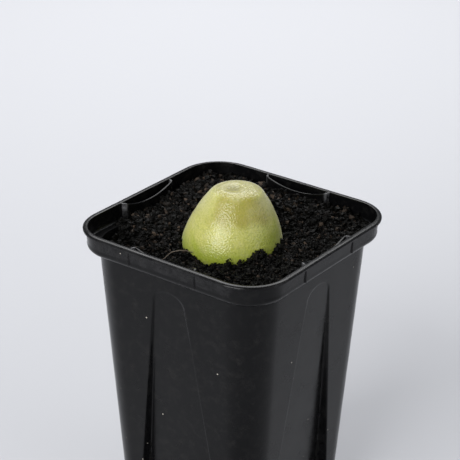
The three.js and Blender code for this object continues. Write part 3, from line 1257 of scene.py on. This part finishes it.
@dataclass
class PottingMix:
    """The fill: a bed of mix that the plant sits in, with loose crumbs over its top."""

    pot: NurseryPot
    plant: ConophytumBody
    finish: Finish = PeatMix()
    clearance: float = 0.15
    crumb_cover: float = 0.7
    plant_reach: float = 11.6
    bed_start: float = 11.75
    socket_top: float = -7.4
    crumb_start: float = 10.8
    under_ledge: float = -5.0
    over_ledge: float = -3.4
    columns: int = 420
    surface_rings: int = 74
    side_rings: int = 12
    spots: tuple[tuple[float, float, float], ...] = (
        (-23, -8, -3.8),
        (-23, 1, -4.4),
        (-23, 9, -3.4),
        (-18, 19, -3.1),
        (-8, 23, -3),
        (1, 23, -2.9),
        (10, 23, -3),
        (20, 19, -3.9),
        (-20, -18, -7),
        (-11, -20, -5.6),
        (0, -21, -5.6),
        (10, -20, -5.3),
        (19, -18, -5),
        (22, -5, -4.8),
        (22, 8, -4.5),
        (-15, -6, -5.1),
        (-12, 10, -4.3),
        (0, 16, -4.2),
        (13, 11, -4.6),
        (15, -4, -4.8),
        (8, -14, -5.3),
        (-2, -15, -5.9),
    )
    spot_reach: float = 5
    contact: tuple[tuple[float, float], ...] = (
        (-180, -4.3),
        (-90, -5),
        (-58, -5.3),
        (-37, -6.2),
        (-30, -7.6),
        (-23, -7.5),
        (-17, -6.3),
        (-11, -5.8),
        (-6, -4.5),
        (-3, -4.5),
        (0, -5.8),
        (4, -5.3),
        (8, -4.7),
        (30, -4.1),
        (40, -4.9),
        (49, -5.7),
        (60, -4.4),
        (90, -4.2),
        (180, -4.3),
    )
    contact_reach: float = 3.5
    view_azimuth: float = 36.5
    rootlet_path: tuple[tuple[float, float, float], ...] = (
        (-6.2, -18.7, 75.0),
        (-5.4, -18.6, 75.5),
        (-5.4, -17.5, 75.9),
        (-5.4, -16.0, 76.1),
        (-4.7, -14.9, 76.2),
        (-4.1, -13.7, 76.1),
        (-3.2, -12.6, 75.7),
        (-2.6, -11.9, 75.2),
    )
    rootlet_radius: float = 0.09

    def far_height(self, x: np.ndarray, y: np.ndarray) -> np.ndarray:
        """Height over the rim away from the plant: the spots' mean, weighted by nearness.

        Args:
            x: places along X.
            y: places along Y.

        Returns:
            Heights in the shape of x.
        """
        spots = np.array(self.spots)
        gap = np.hypot(x[..., None] - spots[:, 0], y[..., None] - spots[:, 1])
        weight = np.exp(-((gap / self.spot_reach) ** 2)) + 1e-6
        return (weight * spots[:, 2]).sum(axis=-1) / weight.sum(axis=-1)

    def contact_height(self, x: np.ndarray, y: np.ndarray) -> np.ndarray:
        """Height over the rim at which the mix meets the plant, by direction from its axis.

        Args:
            x: places along X.
            y: places along Y.

        Returns:
            Heights in the shape of x.
        """
        turn = np.degrees(np.arctan2(x, -y)) - self.view_azimuth
        turn = (turn + 180) % 360 - 180
        angles, heights = np.array(self.contact).T
        return np.interp(turn, angles, heights)

    def surface(self, x: np.ndarray, y: np.ndarray) -> np.ndarray:
        """Height of the mix over the rim: contact height near the plant, spots away from it.

        Long and short ripples stand for its uneven heaps.

        Args:
            x: places along X.
            y: places along Y.

        Returns:
            Heights in the shape of x.
        """
        away = np.hypot(x, y) - self.plant_reach
        share = smoothstep(away / self.contact_reach)
        height = self.contact_height(x, y) * (1 - share) + self.far_height(x, y) * share
        heaps, lumps = ripples(x, y, 7, 24, 11), ripples(x, y, 2.6, 32, 12)
        return height + 0.45 * heaps + 0.28 * lumps

    def reach(self, turn: np.ndarray, height: np.ndarray) -> np.ndarray:
        """Distance from the axis to the pot's inner face in each direction, at a height.

        The face is a square with round corners: the collar's over the ledge, with the ledge's
        rounding, and the tapered wall's under it.

        Args:
            turn: directions, in radians.
            height: heights over the rim.

        Returns:
            Distances in the shape of the two together.
        """
        pot = self.pot
        over = height + pot.ledge_depth
        inset = pot.collar_draft + pot.wall + np.maximum(pot.ledge_round - over, 0)
        collar = pot.rim_half - pot.lip_overhang - inset
        wall = pot.wall_half_top + pot.wall_taper * height - pot.wall
        wall_corner = pot.wall_corner_top + pot.wall_corner_taper * height - pot.wall
        half = np.where(over > 0, collar, wall)
        corner = np.where(over > 0, pot.collar_corner - inset, wall_corner)
        cos, sin = np.abs(np.cos(turn)), np.abs(np.sin(turn))
        flat = half / np.maximum(cos, sin)
        centre = half - corner
        middle = centre * (cos + sin)
        arc = middle + np.sqrt(np.maximum(middle**2 - 2 * centre**2 + corner**2, 0))
        in_corner = np.minimum(cos, sin) * flat > centre
        return np.where(in_corner, arc, flat)

    def edge(self, turn: np.ndarray) -> np.ndarray:
        """Distance at which the mix ends: the wall, or the collar where it covers the ledge.

        Args:
            turn: directions, in radians.

        Returns:
            Distances in the shape of turn.
        """
        wall = self.reach(turn, self.under_ledge) - self.clearance
        collar = self.reach(turn, self.over_ledge) - self.clearance
        height = self.surface(wall * np.cos(turn), wall * np.sin(turn))
        share = smoothstep((height + self.pot.ledge_depth + 0.2) / 0.5)
        return wall + (collar - wall) * share

    def bed(self) -> bpy.types.Object:
        """The bed: rings from the socket's bottom out to the pot, then down to the floor.

        The socket's rings follow the plant's buried outline with a clearance. The surface's
        rings spread evenly from the plant to the pot in each direction, at the mix's height,
        and never lower than the ledge where they lie on it.

        Returns:
            The bed's one piece.
        """
        columns = self.columns
        turn = np.linspace(0, 2 * np.pi, columns, endpoint=False)[None, :]
        curve = self.plant.outline(60)
        buried = curve[curve[:, 1] < self.socket_top][1:]
        hollow = buried[:, :1] + self.clearance + 0 * turn
        socket = self.plant.place(hollow, buried[:, 1:] + 0 * turn, turn)
        socket[..., 2] -= self.clearance
        share = np.linspace(0, 1, self.surface_rings)[:, None]
        wall = self.reach(turn, self.under_ledge) - self.clearance
        radius = self.bed_start + (self.edge(turn) - self.bed_start) * share
        x, y = radius * np.cos(turn), radius * np.sin(turn)
        height = self.surface(x, y) - self.crumb_cover
        ledge = -self.pot.ledge_depth
        height = np.where(radius > wall + 0.02, np.maximum(height, ledge + 0.12), height)
        top = self.on_pot(x, y, height)
        foot = np.minimum(height[-1:] - 0.04, ledge + 0.08)
        rim = self.on_pot(x[-1:], y[-1:], foot)
        inner = self.on_pot(wall * np.cos(turn), wall * np.sin(turn), foot - 0.04)
        floor = self.pot.floor_top + self.clearance - self.pot.height
        levels = np.linspace(-8.5, floor, self.side_rings)[:, None]
        wide = self.reach(turn, levels) - self.clearance
        side_x, side_y = wide * np.cos(turn), wide * np.sin(turn)
        room = self.panel_room(side_x, side_y, self.pot.height + levels)
        side = self.on_pot(side_x * room, side_y * room, levels)
        points = np.concatenate([socket, top, rim, inner, side])
        rows = len(points)
        points = points.reshape(-1, 3)
        tips = np.array([[0, 0, points[0, 2]], [0, 0, points[-1, 2]]])
        tips[0, :2] = points[:columns, :2].mean(axis=0)
        ring = np.arange(columns)
        faces = [
            grid_faces(rows, columns)[:, ::-1],
            fan_faces(ring, rows * columns),
            fan_faces(ring[::-1] + (rows - 1) * columns, rows * columns + 1),
        ]
        points = np.concatenate([points, tips])
        tone = 0.1 + 0.1 * ripples(points[:, 0], points[:, 1], 3, 20, 5)
        piece = put_piece("mix_bed", points, faces, self.finish, SMOOTH_ANGLE, {"tone": tone})
        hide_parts("potting_mix")
        return piece

    def on_pot(self, x: np.ndarray, y: np.ndarray, height: np.ndarray) -> np.ndarray:
        """Points from places and heights over the rim."""
        return np.stack(np.broadcast_arrays(x, y, self.pot.height + height), axis=-1)

    def panel_room(self, x: np.ndarray, y: np.ndarray, z: np.ndarray) -> np.ndarray:
        """Share by which the bed's side draws in where a wall's panel is pressed into it.

        Args:
            x: places along X.
            y: places along Y.
            z: heights over the feet.

        Returns:
            Shares of the distance from the axis.
        """
        along = np.where(np.abs(x) > np.abs(y), y, x)
        across = np.maximum(np.abs(x), np.abs(y))
        grow = self.pot.wall + 0.25
        depth = self.pot.panel_depth(along, z + 0 * along, grow + 0 * along)
        return 1 - depth / across

    def crumbs(self, grade: CrumbGrade) -> bpy.types.Object:
        """Loose crumbs on the mix: uneven stones of 32 faces, one array for all of them.

        Each starts as a ball, an octahedron whose faces are split in four. Its points are
        pushed in and out at random, and it is flattened or drawn out, turned at random and set
        on the surface, so that it sinks in by part of its size. Far behind and to the left the
        crumbs are larger and browner. Places inside the plant or the wall are dropped.

        Args:
            grade: the crumbs' size.

        Returns:
            The piece with all the crumbs.
        """
        kind = grade.value
        draw = np.random.default_rng(kind.seed)
        turn = draw.uniform(0, 2 * np.pi, kind.count)
        edge = self.edge(turn)
        radius = np.sqrt(draw.uniform(self.crumb_start**2, edge**2))
        x, y = radius * np.cos(turn), radius * np.sin(turn)
        far = smoothstep((y - x + 16) / 44)
        size = kind.smallest + (kind.largest - kind.smallest) * draw.beta(1.5, 3.2, kind.count)
        across = size * (0.8 + 0.5 * far)
        height = self.surface(x, y) + across * draw.uniform(-0.5, 0.3, kind.count)
        clear = self.clear_of_plant(x, y, height, across) & (radius < edge - 0.3 * across)
        x, y, height, across, far = (part[clear] for part in (x, y, height, across, far))
        amount = len(x)
        ball, triangles = split_octahedron()
        shape = ball[None] * draw.normal(1, 0.24, (amount, len(ball), 1)).clip(0.5, 1.5)
        axes = draw.uniform(0.55, 1.1, (amount, 3))
        axes[:, 0] *= 1 + (kind.stretch - 1) * draw.uniform(0, 1, amount) ** 3
        shape = shape * (axes * across[:, None] / 2)[:, None]
        shape = np.einsum("nij,nkj->nki", random_turns(draw, amount), shape)
        points = shape + self.on_pot(x, y, height)[:, None]
        faces = triangles[None] + (np.arange(amount) * len(ball))[:, None, None]
        tone = draw.beta(0.75, 3.4, amount) * kind.brown * (0.9 + 0.2 * far)
        zones = {"tone": np.repeat(tone, len(ball))}
        name = "mix_crumbs_" + grade.name.lower()
        faces = [faces.reshape(-1, 3)]
        return put_piece(name, points.reshape(-1, 3), faces, self.finish, None, zones)

    def rootlet(self) -> bpy.types.Object:
        """A dried rootlet that arches over the crumbs: a thin tube along a smooth path.

        The path runs evenly through its knots and is blurred. Round each point of it stands a
        ring of 8 points, square to the path.

        Returns:
            The rootlet's piece.
        """
        knots = np.array(self.rootlet_path)
        place = np.linspace(0, len(knots) - 1, 40)
        path = np.stack([np.interp(place, np.arange(len(knots)), axis) for axis in knots.T], axis=1)
        blur = np.array([1, 2, 3, 2, 1]) / 9
        padded = np.pad(path, ((2, 2), (0, 0)), mode="edge")
        path = np.stack([np.convolve(axis, blur, mode="valid") for axis in padded.T], axis=1)
        step = np.gradient(path, axis=0)
        step /= np.linalg.norm(step, axis=1, keepdims=True)
        side = np.cross(step, [0, 0, 1.0])
        side /= np.linalg.norm(side, axis=1, keepdims=True)
        lift = np.cross(side, step)
        turn = np.linspace(0, 2 * np.pi, 8, endpoint=False)
        cos, sin = np.cos(turn)[None, :, None], np.sin(turn)[None, :, None]
        ring = cos * side[:, None] + sin * lift[:, None]
        points = (path[:, None] + ring * self.rootlet_radius).reshape(-1, 3)
        rows, columns = len(path), len(turn)
        ends = [np.arange(columns)[None, ::-1], (rows - 1) * columns + np.arange(columns)[None, :]]
        faces = [grid_faces(rows, columns), *ends]
        return put_piece("mix_rootlet", points, faces, PaleRootlet())

    def clear_of_plant(
        self, x: np.ndarray, y: np.ndarray, height: np.ndarray, across: np.ndarray
    ) -> np.ndarray:
        """Tells which crumbs' centres lie outside the plant's flank.

        Args:
            x: places along X.
            y: places along Y.
            height: heights over the rim.
            across: diameters.

        Returns:
            True for each crumb whose centre is a quarter of its size or more from the flank.
        """
        curve = self.plant.outline(120)
        flank = curve[np.argmax(curve[:, 0]) :]
        radius = np.interp(height, flank[:, 1], flank[:, 0], left=flank[0, 0])
        shift = self.plant.lean * (height - self.plant.lean_from)
        heading = np.radians(self.plant.lean_direction)
        away = np.hypot(x - shift * np.cos(heading), y - shift * np.sin(heading))
        return away > radius + 0.25 * across


def split_octahedron() -> tuple[np.ndarray, np.ndarray]:
    """A unit ball of 18 points and 32 triangles: an octahedron with each face split in four.

    Returns:
        Its points, and the point numbers of its triangles.
    """
    tips = np.array([[1, 0, 0], [-1, 0, 0], [0, 1, 0], [0, -1, 0], [0, 0, 1], [0, 0, -1]], float)
    upper = [(0, 2, 4), (2, 1, 4), (1, 3, 4), (3, 0, 4)]
    lower = [(2, 0, 5), (1, 2, 5), (3, 1, 5), (0, 3, 5)]
    points = [tuple(tip) for tip in tips]
    split = []
    for a, b, c in upper + lower:
        middles = []
        for p, q in ((a, b), (b, c), (c, a)):
            middle = tips[p] + tips[q]
            spot = tuple(middle / np.linalg.norm(middle))
            if spot not in points:
                points.append(spot)
            middles.append(points.index(spot))
        ab, bc, ca = middles
        split += [(a, ab, ca), (ab, b, bc), (ca, bc, c), (ab, bc, ca)]
    return np.array(points), np.array(split)


def random_turns(draw: np.random.Generator, count: int) -> np.ndarray:
    """Evenly spread random rotations, as matrices made from unit quaternions.

    Args:
        draw: the random draws.
        count: how many rotations.

    Returns:
        One matrix per rotation.
    """
    q = draw.normal(size=(count, 4))
    w, x, y, z = (q / np.linalg.norm(q, axis=1, keepdims=True)).T
    rows = [
        [1 - 2 * (y * y + z * z), 2 * (x * y - w * z), 2 * (x * z + w * y)],
        [2 * (x * y + w * z), 1 - 2 * (x * x + z * z), 2 * (y * z - w * x)],
        [2 * (x * z - w * y), 2 * (y * z + w * x), 1 - 2 * (x * x + y * y)],
    ]
    return np.moveaxis(np.array(rows), 2, 0)


@dataclass(frozen=True)
class SoftLight:
    """A square soft light round the rim's middle: its place, the side of the square, its power."""

    azimuth: float
    elevation: float
    away: float
    size: float
    watts: float
    faces_down: bool = False


@dataclass
class Studio:
    """A plain pale floor and surroundings, three soft lights, and the photo's camera angle."""

    floor_colour: str = "#c3c4c8"
    sky_colour: str = "#dfe2e8"
    camera_place: tuple[float, float, float] = (201.78, -272.38, 238.16)
    axis_azimuth: float = 36.665
    axis_elevation: float = 25.402
    roll: float = 0.537
    focal_length: float = 127.56
    floor_half: float = 6000
    world_strength: float = 0.35
    rim_middle: tuple[float, float, float] = (0, 0, 80)
    window_light: SoftLight = SoftLight(-2, 25, 900, 680, 9.4)
    overhead_light: SoftLight = SoftLight(216.665, 44, 650, 520, 3.9, faces_down=True)
    fill_light: SoftLight = SoftLight(95, 25, 900, 800, 1.5)

    def camera(self) -> None:
        """Sets the camera: its place, the direction of its axis and a small roll."""
        azimuth = np.radians(self.axis_azimuth)
        right = Vector((np.cos(azimuth), np.sin(azimuth), 0))
        back = self.direction(self.axis_azimuth, self.axis_elevation)
        upright = Matrix((right, back.cross(right), back)).transposed()
        turn = upright @ Matrix.Rotation(np.radians(self.roll), 3, "Z")
        data = bpy.data.cameras.new("photo_camera")
        data.sensor_width = 36
        data.lens = self.focal_length
        data.clip_start = 0.01
        data.clip_end = 50
        camera = bpy.data.objects.new("photo_camera", data)
        camera.matrix_world = Matrix.Translation(Vector(self.camera_place) * MM) @ turn.to_4x4()
        bpy.context.scene.collection.objects.link(camera)
        bpy.context.scene.camera = camera

    def floor(self) -> None:
        """Lays the plain floor at the height of the pot's feet."""
        corners = np.array([[-1, -1, 0], [1, -1, 0], [1, 1, 0], [-1, 1, 0]]) * self.floor_half
        mesh = bpy.data.meshes.new("floor")
        mesh.from_pydata((corners * MM).tolist(), [], [(0, 1, 2, 3)])
        material = bpy.data.materials.new("floor_paper")
        material.use_nodes = True
        shader = material.node_tree.nodes["Principled BSDF"]
        shader.inputs["Base Color"].default_value = linear(self.floor_colour)
        shader.inputs["Roughness"].default_value = 0.9
        mesh.materials.append(material)
        floor = bpy.data.objects.new("floor", mesh)
        bpy.context.scene.collection.objects.link(floor)

    def light(self, name: str, lamp: SoftLight) -> None:
        """Hangs a soft light that faces the rim's middle, or the floor straight under it.

        Args:
            name: the light's name.
            lamp: its place, size and power.
        """
        middle = Vector(self.rim_middle)
        place = middle + self.direction(lamp.azimuth, lamp.elevation) * lamp.away
        aim = Vector((place.x, place.y, 0)) if lamp.faces_down else middle
        data = bpy.data.lights.new(name, "AREA")
        data.size = lamp.size * MM
        data.energy = lamp.watts
        hung = bpy.data.objects.new(name, data)
        hung.location = place * MM
        hung.rotation_mode = "QUATERNION"
        hung.rotation_quaternion = (aim - place).to_track_quat("-Z", "Y")
        bpy.context.scene.collection.objects.link(hung)

    def direction(self, azimuth: float, elevation: float) -> Vector:
        """The direction at an azimuth, 0 towards -Y and 90 towards +X, and an elevation."""
        turn, tilt = np.radians([azimuth, elevation])
        return Vector((np.sin(turn) * np.cos(tilt), -np.cos(turn) * np.cos(tilt), np.sin(tilt)))

    def build(self) -> None:
        """Sets up the camera, the floor, the lights and the pale surroundings."""
        scene = bpy.context.scene
        scene.view_settings.view_transform = "Standard"
        world = bpy.data.worlds.new("pale_room")
        world.use_nodes = True
        background = world.node_tree.nodes["Background"]
        background.inputs["Color"].default_value = linear(self.sky_colour)
        background.inputs["Strength"].default_value = self.world_strength
        scene.world = world
        self.camera()
        self.floor()
        self.light("window_light", self.window_light)
        self.light("overhead_light", self.overhead_light)
        self.light("fill_light", self.fill_light)


def main() -> None:
    """Builds the studio and each sub-assembly in order."""
    logging.basicConfig(level=logging.INFO, format="%(message)s")
    Studio().build()
    pot = NurseryPot()
    pot.build()
    plant = ConophytumBody()
    plant.build()
    mix = PottingMix(pot, plant)
    mix.bed()
    for grade in CrumbGrade:
        mix.crumbs(grade)
    mix.rootlet()


if __name__ == "__main__":
    main()
